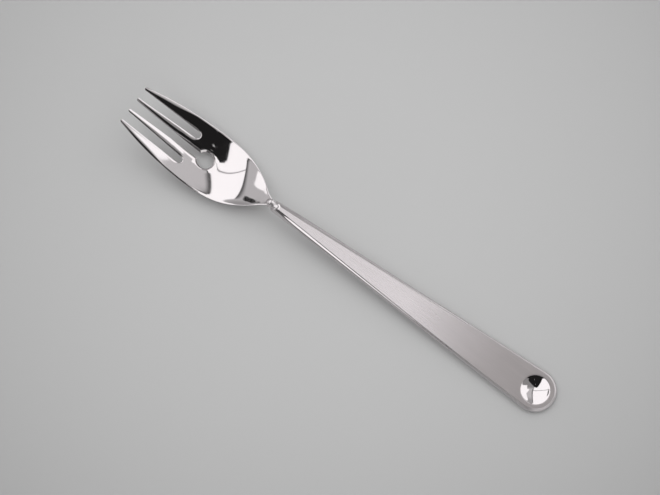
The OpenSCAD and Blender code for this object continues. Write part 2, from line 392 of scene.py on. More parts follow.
@dataclass(frozen=True)
class LightTent:
    """Light tent that the polished steel mirrors: white screens, their frames and the dark side of the lens.

    Places are counted in the picture's right (u) and away (v) directions, over the height. A span says where a
    soft edge starts to show and where it shows in full. A band is two spans, and a line is a lean and a place.
    A disc is its middle and its radii.
    """

    name: str = "light_tent"
    lowest: float = 0.02
    sharp: Span = (-0.01, 0.01)
    rim: Span = (1.06, 0.94)
    grey: float = 0.66
    right_grey: float = 0.72
    right_span: Span = (0.1, 0.3)
    far_grey: float = 0.48
    far_right: Span = (0.25, 0.35)
    far_back: Span = (0.6, 1.05)
    right_shade: float = 0.34
    shade_right: Span = (0.05, 0.2)
    shade_front: Span = (0.16, -0.06)
    low_far: float = 0.42
    low_back: Span = (1.7, 2.4)
    haze: float = 0.42
    haze_ring: Span = (40.0, 90.0)
    white: float = 1.45
    left_line: Span = (0.155, -0.725)
    left_curl: float = 0.15
    curl_span: Span = (0.0, -0.4)
    right_line: Span = (0.12, 0.21)
    hook_lean: float = 0.25
    hook_from: float = 0.3
    screen_slant: Span = (-1.18, -1.10)
    screen_along: Band = ((-0.85, -0.75), (1.85, 1.72))
    seam: float = 0.50
    seam_along: Band = ((0.169, 0.177), (0.211, 0.203))
    bar: float = 0.10
    left_bar: Band = ((0.005, -0.02), (-0.20, -0.02))
    left_bar_along: Band = ((-0.40, -0.30), (1.9, 1.6))
    right_bar: Band = ((-0.005, 0.015), (0.10, 0.02))
    right_bar_along: Band = ((0.02, 0.14), (1.25, 1.15))
    lower_slant: Span = (0.295, 0.315)
    lower_front: Span = (0.10, 0.13)
    lower_side: Span = (0.62, 0.66)
    lower_left: Span = (0.47, 0.50)
    upper_lean: float = 2.1
    upper_slant: Span = (0.55, 0.61)
    upper_left: Span = (0.72, 0.78)
    box_front: Span = (-0.15, -0.10)
    box_right: Span = (2.6, 2.3)
    patch_across: Band = ((-1.7, -1.65), (-1.02, -1.06))
    patch_lean: float = 1.04
    patch_slant: Span = (1.775, 1.795)
    patch_back: Span = (0.90, 0.86)
    dark: float = 0.017
    lens_left: Band = ((0.65, -0.05), (0.42, -0.12))
    lens_right: Span = (-1.05, 0.12)
    lens_tip: Span = (0.62, 0.56)
    lens_along: Band = ((-0.80, -0.74), (-0.02, -0.04))
    lens_end: Band = ((0.045, -0.035), (0.095, 0.055))
    first_glint: Band = ((0.07, -0.18), (0.008, 0.010))
    second_glint: Band = ((0.15, -0.50), (0.015, 0.012))
    blob: Band = ((-0.735, 1.70), (0.05, 0.30))
    front: float = 0.12
    front_ring: Span = (0.9, 1.3)
    front_slant: Span = (-1.08, -1.16)
    front_near: Span = (-0.2, -0.4)
    front_lean: float = 0.1
    front_side: Span = (0.0, -0.1)
    front_left: float = 0.50
    front_left_lean: float = 0.64
    front_left_side: Span = (0.05, -0.05)
    front_left_ring: Span = (3.5, 5.0)
    front_right: float = 0.95
    front_right_near: Span = (-0.85, -1.0)
    front_right_side: Span = (-0.1, 0.0)

    def build(self, turn: float) -> bpy.types.World:
        """Builds the surroundings.

        Args:
            turn: Turn of the picture's right from the fork's X axis, in radians.

        Returns:
            The world.
        """
        made = bpy.data.worlds.new(self.name)
        g = Graph(made)
        c, s = math.cos(turn), math.sin(turn)
        up = self._part(g, (0.0, 0.0, 1.0)) | self.lowest
        u, v = self._part(g, (c, s, 0.0)) / up, self._part(g, (-s, c, 0.0)) / up
        glow: Value | float = self.grey
        for mask, level in self._layers(u, v):
            glow = glow * (1.0 - mask) + mask * level
        shine = g.node("ShaderNodeBackground", None, {"Color": glow, "Strength": 1.0})
        g.node("ShaderNodeOutputWorld", None, {"Surface": shine})
        return made

    def _layers(self, u: Value, v: Value) -> list[tuple[Value, float]]:
        """Masks of all that hangs in the tent, each with its brightness, from back to front.

        Args:
            u: Place to the right.
            v: Place away from the camera.

        Returns:
            Pairs of mask and brightness.
        """
        ring = u * u + v * v
        return [
            (u.rise(*self.right_span), self.right_grey),
            (u.rise(*self.far_right) * v.rise(*self.far_back), self.far_grey),
            (u.rise(*self.shade_right) * v.rise(*self.shade_front), self.right_shade),
            (v.rise(*self.low_back), self.low_far),
            *self._front_layers(u, v, ring),
            (self._patch(u, v), self.white),
            (self._side_box(u, v), self.white),
            *self._screen_layers(u, v),
            (self._disc(u, v, self.blob), self.dark),
            (self._lens(u, v), self.dark),
            (self._disc(u, v, self.first_glint) | self._disc(u, v, self.second_glint), self.white),
            (ring.rise(*self.haze_ring), self.haze),
        ]

    def _front_layers(self, u: Value, v: Value, ring: Value) -> list[tuple[Value, float]]:
        """The dark room in front of the tent, its paler left and its bright right.

        Args:
            u: Place to the right.
            v: Place away from the camera.
            ring: Square of the distance from the middle.

        Returns:
            Pairs of mask and brightness.
        """
        beside = u - v * self.front_lean
        around = ring.rise(*self.front_ring) | (u + v).rise(*self.front_slant)
        front = around * v.rise(*self.front_near) * beside.rise(*self.front_side)
        left = (u - v * self.front_left_lean).rise(*self.front_left_side) * ring.rise(*self.front_left_ring)
        right = v.rise(*self.front_right_near) * beside.rise(*self.front_right_side)
        return [(front, self.front), (front * left, self.front_left), (right, self.front_right)]

    def _screen_layers(self, u: Value, v: Value) -> list[tuple[Value, float]]:
        """The large white screen, the bars of its frame and the seam across it.

        Args:
            u: Place to the right.
            v: Place away from the camera.

        Returns:
            Pairs of mask and brightness.
        """
        left = u - (self._line(v, self.left_line) + v.rise(*self.curl_span) * self.left_curl)
        right = u - (self._line(v, self.right_line) - ((self.hook_from - v) | 0.0) * self.hook_lean)
        inside = left.rise(*self.sharp) * right.rise(*self.sharp[::-1])
        screen = inside * (u + v).rise(*self.screen_slant) * self._band(v, self.screen_along)
        left_bar = self._band(left, self.left_bar) * self._band(v, self.left_bar_along)
        right_bar = self._band(right, self.right_bar) * self._band(v, self.right_bar_along)
        seam = inside * self._band(v, self.seam_along)
        return [(screen, self.white), (left_bar | right_bar, self.bar), (seam, self.seam)]

    def _side_box(self, u: Value, v: Value) -> Value:
        """Mask of the white light box on the right."""
        lower = (u - v).rise(*self.lower_slant) * (v.rise(*self.lower_front) | u.rise(*self.lower_side))
        upper = (u * self.upper_lean - v).rise(*self.upper_slant) * u.rise(*self.upper_left)
        box = lower * u.rise(*self.lower_left) | upper
        return box * v.rise(*self.box_front) * u.rise(*self.box_right)

    def _patch(self, u: Value, v: Value) -> Value:
        """Mask of the small white screen far on the left."""
        slant = (v - u * self.patch_lean).rise(*self.patch_slant)
        return self._band(u, self.patch_across) * slant * v.rise(*self.patch_back)

    def _lens(self, u: Value, v: Value) -> Value:
        """Mask of the dark lens and its round end."""
        first, second = (self._line(v, line) for line in self.lens_left)
        left, right = u - (first | second), u - self._line(v, self.lens_right)
        wedge = left.rise(*self.sharp) * right.rise(*self.sharp[::-1]) * u.rise(*self.lens_tip)
        return wedge * self._band(v, self.lens_along) | self._disc(u, v, self.lens_end)

    @staticmethod
    def _part(g: Graph, axis: Triple) -> Value:
        """Share of the viewing direction along an axis."""
        where = g.node("ShaderNodeTexCoord", output="Generated")
        return g.node("ShaderNodeVectorMath", {"operation": "DOT_PRODUCT"}, {0: where, 1: axis}, output="Value")

    @staticmethod
    def _line(v: Value, line: Span) -> Value:
        """Place to the right of a line, at places away."""
        return v * line[0] + line[1]

    @staticmethod
    def _band(value: Value, band: Band) -> Value:
        """Mask between the two soft edges of a band."""
        return value.rise(*band[0]) * value.rise(*band[1])

    def _disc(self, right: Value, away: Value, disc: Band) -> Value:
        """Mask of an ellipse with a soft edge: 1 inside, 0 outside."""
        middle, radii = disc
        u, v = (right - middle[0]) / radii[0], (away - middle[1]) / radii[1]
        return (u * u + v * v).rise(*self.rim)


@dataclass(frozen=True)
class Station:
    """A place along the head, a value there and its slope."""

    at: float
    value: float
    slope: float


@dataclass(frozen=True)
class SmoothLine:
    """Smooth curve through a list of stations."""

    stations: tuple[Station, ...]

    def __call__(self, x: np.ndarray) -> np.ndarray:
        """Values of the curve.

        Args:
            x: Places along the head.

        Returns:
            One value for each place.
        """
        x = np.asarray(x, float)
        index = np.clip(np.searchsorted([s.at for s in self.stations], x) - 1, 0, len(self.stations) - 2)
        rows = np.array([(s.at, s.value, s.slope) for s in self.stations])
        a, b = rows[index], rows[index + 1]
        span = b[..., 0] - a[..., 0]
        t = (x - a[..., 0]) / span
        s = 1 - t
        ends = a[..., 1] * s * s * (1 + 2 * t) + b[..., 1] * t * t * (3 - 2 * t)
        return ends + span * t * s * (a[..., 2] * s - b[..., 2] * t)


class Plan:
    """Flat outline with the triangles that fill it, seen from above."""

    CHUNK = 400
    NEAR_SHARE = 0.985
    LONG_GAP = 3
    WELD = 1e-5
    TINY = 1e-6

    def __init__(self, outline: np.ndarray) -> None:
        """Keeps the outline, which runs anticlockwise."""
        self.outline = outline
        after, before = np.roll(outline, -1, 0), np.roll(outline, 1, 0)
        along = after - before
        along /= np.linalg.norm(along, axis=1, keepdims=True)
        self.inward = np.stack([-along[:, 1], along[:, 0]], 1)
        self.points: np.ndarray = outline
        self.triangles: np.ndarray = np.zeros((0, 3), int)

    def edge_distance(self, points: np.ndarray) -> np.ndarray:
        """Distance of points from the outline.

        Args:
            points: Places in the plane.

        Returns:
            One distance for each place.
        """
        a = self.outline
        d = np.roll(a, -1, 0) - a
        length2 = np.maximum((d * d).sum(1), self.TINY**2)
        nearest = np.empty(len(points))
        for first in range(0, len(points), self.CHUNK):
            part = slice(first, first + self.CHUNK)
            p = points[part, None, :]
            t = np.clip(((p - a) * d).sum(2) / length2, 0, 1)
            nearest[part] = np.linalg.norm(p - (a + t[..., None] * d), axis=2).min(1)
        return nearest

    def inset(self, by: np.ndarray) -> np.ndarray:
        """Loop inside the outline, without the points that come too near another stretch of it.

        Args:
            by: Distance of each point of the loop from the outline.

        Returns:
            The points that are left, in order.
        """
        moved = self.outline + self.inward * by[:, None]
        return moved[self.edge_distance(moved) > by * self.NEAR_SHARE - self.TINY]

    def inside(self, points: np.ndarray) -> np.ndarray:
        """Which points lie inside the outline, by counting crossings."""
        a, b = self.outline, np.roll(self.outline, -1, 0)
        found = np.zeros(len(points), bool)
        for p, q in zip(a, b):
            between = (p[1] > points[:, 1]) != (q[1] > points[:, 1])
            if between.any():
                cross = p[0] + (points[:, 1] - p[1]) / (q[1] - p[1] or 1.0) * (q[0] - p[0])
                found ^= between & (points[:, 0] < cross)
        return found

    def fill(self, loops: Sequence[np.ndarray], loose: np.ndarray) -> None:
        """Fills the outline with triangles.

        Args:
            loops: Closed loops of points inside the outline, whose sides become edges.
            loose: Single points inside the outline.
        """
        points, edges = [self.outline], []
        first = 0
        for loop in (self.outline, *loops):
            n = len(loop)
            gaps = np.linalg.norm(np.roll(loop, -1, 0) - loop, axis=1)
            limit = np.inf if loop is self.outline else np.median(gaps) * self.LONG_GAP
            edges += [(first + i, first + (i + 1) % n) for i in range(n) if gaps[i] < limit]
            first += n
        points += [*loops, loose]
        flat = [Vector(p) for p in np.concatenate(points)]
        verts, _, faces, origin, _, _ = delaunay_2d_cdt(flat, edges, [], 1, self.WELD)
        order = {o: i for i, found in enumerate(origin) for o in found}
        first_of = [order[i] for i in range(len(self.outline))]
        rest = [i for i in range(len(verts)) if i not in set(first_of)]
        place = {old: new for new, old in enumerate([*first_of, *rest])}
        self.points = np.array([verts[i] for i in [*first_of, *rest]], float)
        self.triangles = np.array([[place[i] for i in f] for f in faces if len(f) == 3], int)


def grid(low: Sequence[float], high: Sequence[float], step: float) -> np.ndarray:
    """Points on a grid of staggered rows.

    Args:
        low: Lowest corner.
        high: Highest corner.
        step: Distance between neighbours.

    Returns:
        The points.
    """
    rows = np.arange(low[1], high[1], step * math.sqrt(3) / 2)
    return np.array(
        [(x, y) for i, y in enumerate(rows) for x in np.arange(low[0] + step / 2 * (i % 2), high[0], step)]
    )


def ease(share: np.ndarray) -> np.ndarray:
    """Smooth step from 0 to 1 as a share goes from 0 to 1."""
    t = np.clip(share, 0.0, 1.0)
    return t * t * (3 - 2 * t)


def arc(middle: Sequence[float], radius: float, start: float, end: float, steps: int) -> np.ndarray:
    """Points on a round arc, from one angle to another in degrees, both ends included."""
    a = np.radians(np.linspace(start, end, steps + 1))
    return np.stack([middle[0] + radius * np.cos(a), middle[1] + radius * np.sin(a)], 1)


def ring_faces(ring: int, n: int) -> list[list[int]]:
    """Four-sided faces between a ring of points and the next one.

    Args:
        ring: Number of the first ring.
        n: Points in each ring.

    Returns:
        The faces.
    """
    low, high = ring * n, (ring + 1) * n
    return [[low + j, low + (j + 1) % n, high + (j + 1) % n, high + j] for j in range(n)]


def make_piece(
    name: str,
    points: np.ndarray,
    faces: Sequence[Sequence[int]],
    materials: Sequence[bpy.types.Material],
    kinds: Sequence[int] | None = None,
    crease: float = CREASE,
) -> bpy.types.Object:
    """Makes an object from points in millimetres.

    Args:
        name: Name of the piece.
        points: Its points.
        faces: Its faces.
        materials: Its materials.
        kinds: Place of each face's material in that list.
        crease: Angle in degrees above which an edge stays sharp.

    Returns:
        The object.
    """
    mesh = bpy.data.meshes.new(name)
    mesh.from_pydata((np.asarray(points) * MM).tolist(), [], [list(map(int, f)) for f in faces])
    for made in materials:
        mesh.materials.append(made)
    if kinds is not None:
        mesh.polygons.foreach_set("material_index", list(kinds))
    piece = bpy.data.objects.new(name, mesh)
    bpy.context.scene.collection.objects.link(piece)
    clean(piece, crease)
    return piece


def clean(piece: bpy.types.Object, crease: float) -> None:
    """Joins points that coincide, turns all faces outwards and marks the sharp edges.

    Args:
        piece: The object.
        crease: Angle in degrees above which an edge stays sharp.
    """
    work = bmesh.new()
    work.from_mesh(piece.data)
    bmesh.ops.remove_doubles(work, verts=work.verts, dist=WELD)
    bmesh.ops.dissolve_degenerate(work, edges=work.edges, dist=WELD)
    bmesh.ops.recalc_face_normals(work, faces=work.faces)
    for face in work.faces:
        face.smooth = True
    for edge in work.edges:
        edge.smooth = len(edge.link_faces) == 2 and edge.calc_face_angle(0.0) < math.radians(crease)
    work.to_mesh(piece.data)
    work.free()


@dataclass(frozen=True)
class Joint:
    """Where the handle starts, and how it slopes down to the table."""

    head_len: float = 64.2
    neck_height: float = 6.6
    handle_len: float = 125.8
    handle_front_t: float = 4.0
    handle_end_t: float = 2.4
    handle_rise: float = 4.4
    shoulder_drop: float = 0.5

    @property
    def top(self) -> float:
        """Height of the handle's top over the line of the tang, at the neck."""
        return self.handle_front_t / 2

    @property
    def pitch(self) -> float:
        """Slope of the tang, in radians."""
        lift = self.top + self.handle_rise
        reach = math.hypot(self.handle_len, lift)
        return math.acos((self.handle_end_t - self.neck_height) / reach) - math.atan2(self.handle_len, lift)

    @property
    def middle(self) -> float:
        """Half the length of the fork, which is where the frame's origin lies."""
        lift = self.top + self.handle_rise - self.shoulder_drop
        return (self.head_len + self.handle_len * math.cos(self.pitch) + lift * math.sin(self.pitch)) / 2

    def from_tips(self, points: np.ndarray) -> np.ndarray:
        """Points counted from the tine tips, moved into the fork's frame."""
        return np.asarray(points, float) - (self.middle, 0.0, 0.0)

    def from_tang(self, points: np.ndarray) -> np.ndarray:
        """Points counted along the tang, moved into the fork's frame.

        Args:
            points: Places along, across and over the line of the tang.

        Returns:
            The same places in the fork's frame.
        """
        x, y, z = np.asarray(points, float).T
        c, s = math.cos(self.pitch), math.sin(self.pitch)
        turned = np.stack([self.head_len + x * c + z * s, y, self.neck_height - x * s + z * c], 1)
        return self.from_tips(turned)


@dataclass
class ForkHead:
    """Tines, bowl, neck and tang, made from one blank."""

    joint: Joint
    head_w: float = 24.396
    widest_from_tips: float = 33.0
    shoulder_w: float = 9.9
    shoulder_from_neck: float = 7.0
    shoulder_taper: float = 0.72
    tip_flare: float = 0.26
    bowl_t: float = 2.0
    tip_t: float = 1.1
    straight_len: float = 27.0
    tine_rise: float = 0.2875
    rim_height: float = 4.2
    low_from_tips: float = 44.0
    tip_w: float = 1.1
    inner_tips_apart: float = 5.2
    outer_tips_apart: float = 15.1
    outer_gap_len: float = 26.3
    outer_gap_w: float = 2.64
    outer_gaps_apart: float = 11.66
    middle_gap_w: float = 2.6
    hole_d: float = 6.3
    hole_from_tips: float = 32.6
    neck_d: float = 3.4
    neck_len: float = 1.4
    neck_run: float = 2.2
    waist: float = 0.18
    waist_at: float = 0.35
    waist_half: float = 1.75
    tang_d: float = 2.0
    tang_len: float = 14.0
    neck_break: float = 0.08
    neck_dull: float = 0.22
    dull_span: Span = (-0.0340, -0.0318)
    sheet_share: float = 0.38
    neck_slope: float = 0.15
    hollow_tip: Span = (0.1, 0.065)
    hollow_bend: Span = (0.75, 0.04)
    hollow_neck: Span = (0.0, -0.05)
    edge_w: float = 0.9
    edge_slope: Profile = ((18.0, 25.0, 36.0, 44.0), (0.55, 1.0, 1.0, 0.55))
    edge_run: Profile = ((18.0, 28.0, 38.0, 50.0), (0.28, 0.36, 0.36, 0.18))
    tip_run: float = 8.0
    wall: float = 0.35
    crown_slope: float = 0.35
    crown_share: float = 0.45
    gap_run: float = 1.0
    gap_run_fade: float = 6.0
    gap_end_run: float = 0.35
    crown_fade: Span = (12.0, 26.0)
    bend: Triple = (20.0, 0.297, 0.25)
    neck_lift: Span = (58.0, 0.03)
    blur: float = 2.5
    blur_steps: int = 11
    edge_levels: tuple[float, ...] = (0.03, 0.09, 0.19, 0.33, 0.5, 0.7, 0.9)
    step: float = 0.45
    grid_share: float = 1.5
    clear_share: float = 0.6
    slope_step: float = 0.5
    end_points: int = 4
    tip_steps: int = 18
    gap_steps: int = 20
    hole_steps: int = 36
    ball_steps: int = 24
    waist_steps: int = 14
    round_steps: int = 96
    piece: bpy.types.Object | None = field(default=None, init=False)

    def __post_init__(self) -> None:
        """Works out the curves of the side view and of the plan."""
        self.sheet_end = self.joint.head_len - self.neck_len / 3
        end_z = self.joint.neck_height + self.bowl_t / 2
        tip_r = self.tip_w / 2
        shoulder = self.joint.head_len - self.shoulder_from_neck
        self.half = SmoothLine((
            Station(0.0, self.outer_tips_apart / 2 + tip_r, self.tip_flare),
            Station(self.widest_from_tips, self.head_w / 2, 0.0),
            Station(shoulder, self.shoulder_w / 2, -self.shoulder_taper),
            Station(self.sheet_end, self.neck_d * self.sheet_share, 0.0),
        ))
        bend_z = self.bowl_t + self.tine_rise * (self.low_from_tips - self.straight_len) / 2
        deep = self.rim_height - self.bowl_t
        bend_x, tip_slope, bend_slope = self.bend
        bend_start = bend_z + (tip_slope + bend_slope) / 2 * (self.straight_len - bend_x)
        self.spine = SmoothLine((
            Station(0.0, bend_start + tip_slope * bend_x, -tip_slope),
            Station(bend_x, bend_start, -tip_slope),
            Station(self.straight_len, bend_z, -bend_slope),
            Station(self.low_from_tips, self.bowl_t, 0.0),
            Station(self.sheet_end, end_z, self.neck_slope),
        ))
        self.hollow = SmoothLine((
            Station(0.0, deep * self.hollow_tip[0], self.hollow_tip[1]),
            Station(self.straight_len, deep * self.hollow_bend[0], self.hollow_bend[1]),
            Station(self.low_from_tips, deep, 0.0),
            Station(self.sheet_end, deep * self.hollow_neck[0], self.hollow_neck[1]),
        ))
        self.gauge = SmoothLine((
            Station(0.0, self.tip_t, 0.0),
            Station(self.low_from_tips, self.bowl_t, 0.0),
            Station(self.sheet_end, self.bowl_t, 0.0),
        ))

    def _even(self, line: Callable[[np.ndarray], np.ndarray], x: np.ndarray) -> np.ndarray:
        """Values of a curve, evened out along the head so that reflections run on without a kink."""
        shifts = np.linspace(-self.blur, self.blur, self.blur_steps)
        return np.mean([line(x + shift) for shift in shifts], axis=0)

    def upper(self, x: np.ndarray, y: np.ndarray) -> np.ndarray:
        """Height of the upper face before its edges are rounded."""
        start, bend = self.neck_lift
        lift = bend / 2 * np.maximum(x - start, 0.0) ** 2
        return self._even(self.spine, x) + lift + self._even(self.hollow, x) * (y / self.half(x)) ** 2

    @property
    def gap_bottom(self) -> float:
        """Where the round bottoms of the outer gaps begin."""
        return self.outer_gap_len - self.outer_gap_w / 2

    def gap_near(self, x: np.ndarray) -> np.ndarray:
        """Side of an outer gap nearer the middle."""
        mouth = (self.inner_tips_apart + self.tip_w) / 2
        return mouth + ((self.outer_gaps_apart - self.outer_gap_w) / 2 - mouth) / self.gap_bottom * x

    def gap_far(self, x: np.ndarray) -> np.ndarray:
        """Side of an outer gap further out."""
        mouth = (self.outer_tips_apart - self.tip_w) / 2
        return mouth + ((self.outer_gaps_apart + self.outer_gap_w) / 2 - mouth) / self.gap_bottom * x

    def gap_middle(self, x: np.ndarray) -> np.ndarray:
        """Side of the middle gap."""
        mouth, waist = (self.inner_tips_apart - self.tip_w) / 2, self.middle_gap_w / 2
        return waist + (mouth - waist) * (1 - x / self.hole_from_tips) ** 2

    def _tip(self, low: Callable[[float], float], high: Callable[[float], float]) -> np.ndarray:
        """Round tip between the two sides of a tine.

        Args:
            low: Place across of the side nearer the middle, for places along.
            high: Place across of the side further out.

        Returns:
            Points of the tip, from the outer side to the inner.
        """
        from_low, from_high = float(low(0.0)), float(high(0.0))
        step = self.slope_step
        low_slope, high_slope = (float(side(step) - side(0.0)) / step for side in (low, high))
        root_low, root_high = math.hypot(1, low_slope), math.hypot(1, high_slope)
        r = (from_high - from_low) / (root_low + root_high - (high_slope - low_slope))
        y = from_low + low_slope * r + r * root_low
        start = 90 + math.degrees(math.atan(high_slope))
        end = 270 + math.degrees(math.atan(low_slope))
        return arc((r, y), r, start, end, self.tip_steps)

    def _side(self, line: Callable[[np.ndarray], np.ndarray], start: float, end: float) -> np.ndarray:
        """Points along a side, without its two ends.

        Args:
            line: Place across, for places along.
            start: First place along.
            end: Last place along.

        Returns:
            The points.
        """
        x = np.linspace(start, end, max(3, int(abs(end - start) / self.step)))[1:-1]
        return np.stack([x, line(x)], 1)

    def outline(self) -> np.ndarray:
        """Outline of the sheet with its gaps and hole, seen from above.

        Returns:
            Points, anticlockwise.
        """
        gap_r, hole_r, bottom = self.outer_gap_w / 2, self.hole_d / 2, self.gap_bottom
        outer_tip = self._tip(self.gap_far, self.half)
        inner_tip = self._tip(self.gap_middle, self.gap_near)
        meet = 180 - math.degrees(math.asin(self.middle_gap_w / 2 / hole_r))
        hole = arc((self.hole_from_tips, 0.0), hole_r, meet, 0.0, self.hole_steps)
        end = np.linspace(0, float(self.half(self.sheet_end)), self.end_points)
        upper = np.concatenate([
            np.stack([np.full_like(end, self.sheet_end), end], 1),
            self._side(self.half, self.sheet_end, outer_tip[0, 0]),
            outer_tip,
            self._side(self.gap_far, outer_tip[-1, 0], bottom),
            arc((bottom, self.outer_gaps_apart / 2), gap_r, 90, -90, self.gap_steps),
            self._side(self.gap_near, bottom, inner_tip[0, 0]),
            inner_tip,
            self._side(self.gap_middle, inner_tip[-1, 0], hole[0, 0]),
            hole,
        ])
        upper[-1, 1] = 0.0
        return np.concatenate([upper, upper[-2:0:-1] * (1, -1)])

    def build(self) -> None:
        """Makes the mesh of the head."""
        plan = Plan(self.outline())
        wide = self._edge_width(plan.outline)
        loops = [plan.inset(wide * level) for level in self.edge_levels]
        side = self.head_w / 2
        loose = grid((0.0, -side), (self.sheet_end, side), self.step * self.grid_share)
        loose = loose[plan.inside(loose)]
        clear = self._edge_width(loose) + self.step * self.clear_share
        loose = loose[plan.edge_distance(loose) > clear]
        plan.fill(loops, loose)
        x, y = plan.points.T
        depth = plan.edge_distance(plan.points)
        depth[: len(plan.outline)] = 0.0
        drop = self._drop(plan.points, depth)
        top, gauge = self.upper(x, y), self.gauge(x)
        edge = np.clip(1 - depth / self._edge_width(plan.points), 0.0, 1.0)
        round_up = (gauge - drop - self.wall) * edge**2
        n = len(x)
        points = np.concatenate([
            np.stack([x, y, top - drop], 1),
            np.stack([x, y, top - gauge + round_up], 1),
        ])
        rim = len(plan.outline)
        faces = [*plan.triangles.tolist(), *(plan.triangles[:, ::-1] + n).tolist()]
        faces += [(i, i + n, (i + 1) % rim + n, (i + 1) % rim) for i in range(rim)]
        steel = [PolishedSteel(dull=self.neck_dull, dull_span=self.dull_span).material()]
        self.piece = make_piece("fork_head_steel", self.joint.from_tips(points), faces, steel)
        self._unite(self._neck(steel))

    def _edge_width(self, points: np.ndarray) -> np.ndarray:
        """Width of the edges, which is half of a tine and less round the bowl.

        Args:
            points: Places along and across.

        Returns:
            One width for each place.
        """
        x = np.clip(points[:, 0], 0.0, self.gap_bottom)
        near, far = self.gap_near(x), self.gap_far(x)
        inner, outer = (near - self.gap_middle(x)) / 2, (self.half(x) - far) / 2
        tine = inner + (outer - inner) * ease((np.abs(points[:, 1]) - near) / (far - near))
        return tine + (self.edge_w - tine) * self._crown_fade(points[:, 0])

    def _crown_fade(self, x: np.ndarray) -> np.ndarray:
        """How far the crown of the tines has given way to the bowl, at places along the head."""
        start, end = self.crown_fade
        return ease((x - start) / (end - start))

    def _drop(self, points: np.ndarray, depth: np.ndarray) -> np.ndarray:
        """Depth of the rounded edges and of the crowned outer tines below the plain curve of the head.

        Args:
            points: Places along and across.
            depth: Their distances from the outline.

        Returns:
            One depth for each place.
        """
        x, y = points[:, 0], np.abs(points[:, 1])
        half, at = self.half(x), np.clip(x, 0.0, self.gap_bottom)
        middle, near, far = self.gap_middle(at), self.gap_near(at), self.gap_far(at)
        inner, outer = np.minimum(y - middle, near - y), np.minimum(y - far, half - y)
        beside = np.where(y < (near + far) / 2, inner, outer)
        depth = np.where(x < self.tip_run, np.maximum(beside, 0.0), depth)
        wide = ease((self.low_from_tips - x) / self.gap_run_fade) * ease((near - y) / (near - middle))
        end = ease((x - self.outer_gap_len) / self.outer_gap_w + 1)
        end = end * ease(2 - np.abs(2 * y - near - far) / (far - near))
        run = np.interp(x, *self.edge_run) * (1 + self.gap_run * wide) * (1 + (self.gap_end_run - 1) * end)
        inward = 2 * self.hollow(x) * y / half**2
        edge = (np.interp(x, *self.edge_slope) + inward) * run * np.exp(-depth / run)
        reach = np.maximum(self.crown_share * (half - far) * (1 - self._crown_fade(x)), Plan.TINY)
        crown = self.crown_slope / 2 * reach * np.clip(1 - (half - y) / reach, 0.0, 1.0) ** 2
        return edge + crown

    def _neck(self, steel: Sequence[bpy.types.Material]) -> bpy.types.Object:
        """Round neck with its ball end and slight waist, and the tang behind it.

        Args:
            steel: The materials.

        Returns:
            The object.
        """
        r, tang_r, break_r = self.neck_d / 2, self.tang_d / 2, self.neck_break
        ball = arc((-self.neck_len, 0.0), r, 180, 90, self.ball_steps)
        along = np.linspace(-self.neck_len, self.neck_run - break_r, self.waist_steps + 1)[1:]
        share = np.clip((along - self.waist_at) / self.waist_half, -1.0, 1.0)
        profile = np.concatenate([
            ball,
            np.stack([along, r - self.waist * np.cos(share * math.pi / 2) ** 2], 1),
            [(self.neck_run, r - break_r), (self.neck_run, tang_r)],
            [(self.tang_len, tang_r), (self.tang_len, 0.0)],
        ])
        m = self.round_steps
        around = np.radians(np.arange(0, 360, 360 / m))
        points, faces = [], []
        for x, reach in profile:
            points += [(x, reach * math.cos(a), reach * math.sin(a)) for a in around]
        for i in range(len(profile) - 1):
            faces += ring_faces(i, m)
        return make_piece("neck", self.joint.from_tang(np.array(points)), faces, steel)

    def _unite(self, neck: bpy.types.Object) -> None:
        """Joins the neck to the sheet, so that nothing is left inside.

        Args:
            neck: The neck, which is used up.
        """
        join = self.piece.modifiers.new("join", "BOOLEAN")
        join.operation, join.solver, join.object = "UNION", "EXACT", neck
        seen = self.piece.evaluated_get(bpy.context.evaluated_depsgraph_get())
        joined = bpy.data.meshes.new_from_object(seen)
        self.piece.modifiers.clear()
        self.piece.data = joined
        bpy.data.objects.remove(neck)
        clean(self.piece, CREASE)

    def dress(self) -> None:
        """Puts the mesh in the place of the solid head."""
        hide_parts("fork_head")
        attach(self.piece, "root")
        log.info("%s: %d faces", self.piece.name, len(self.piece.data.polygons))


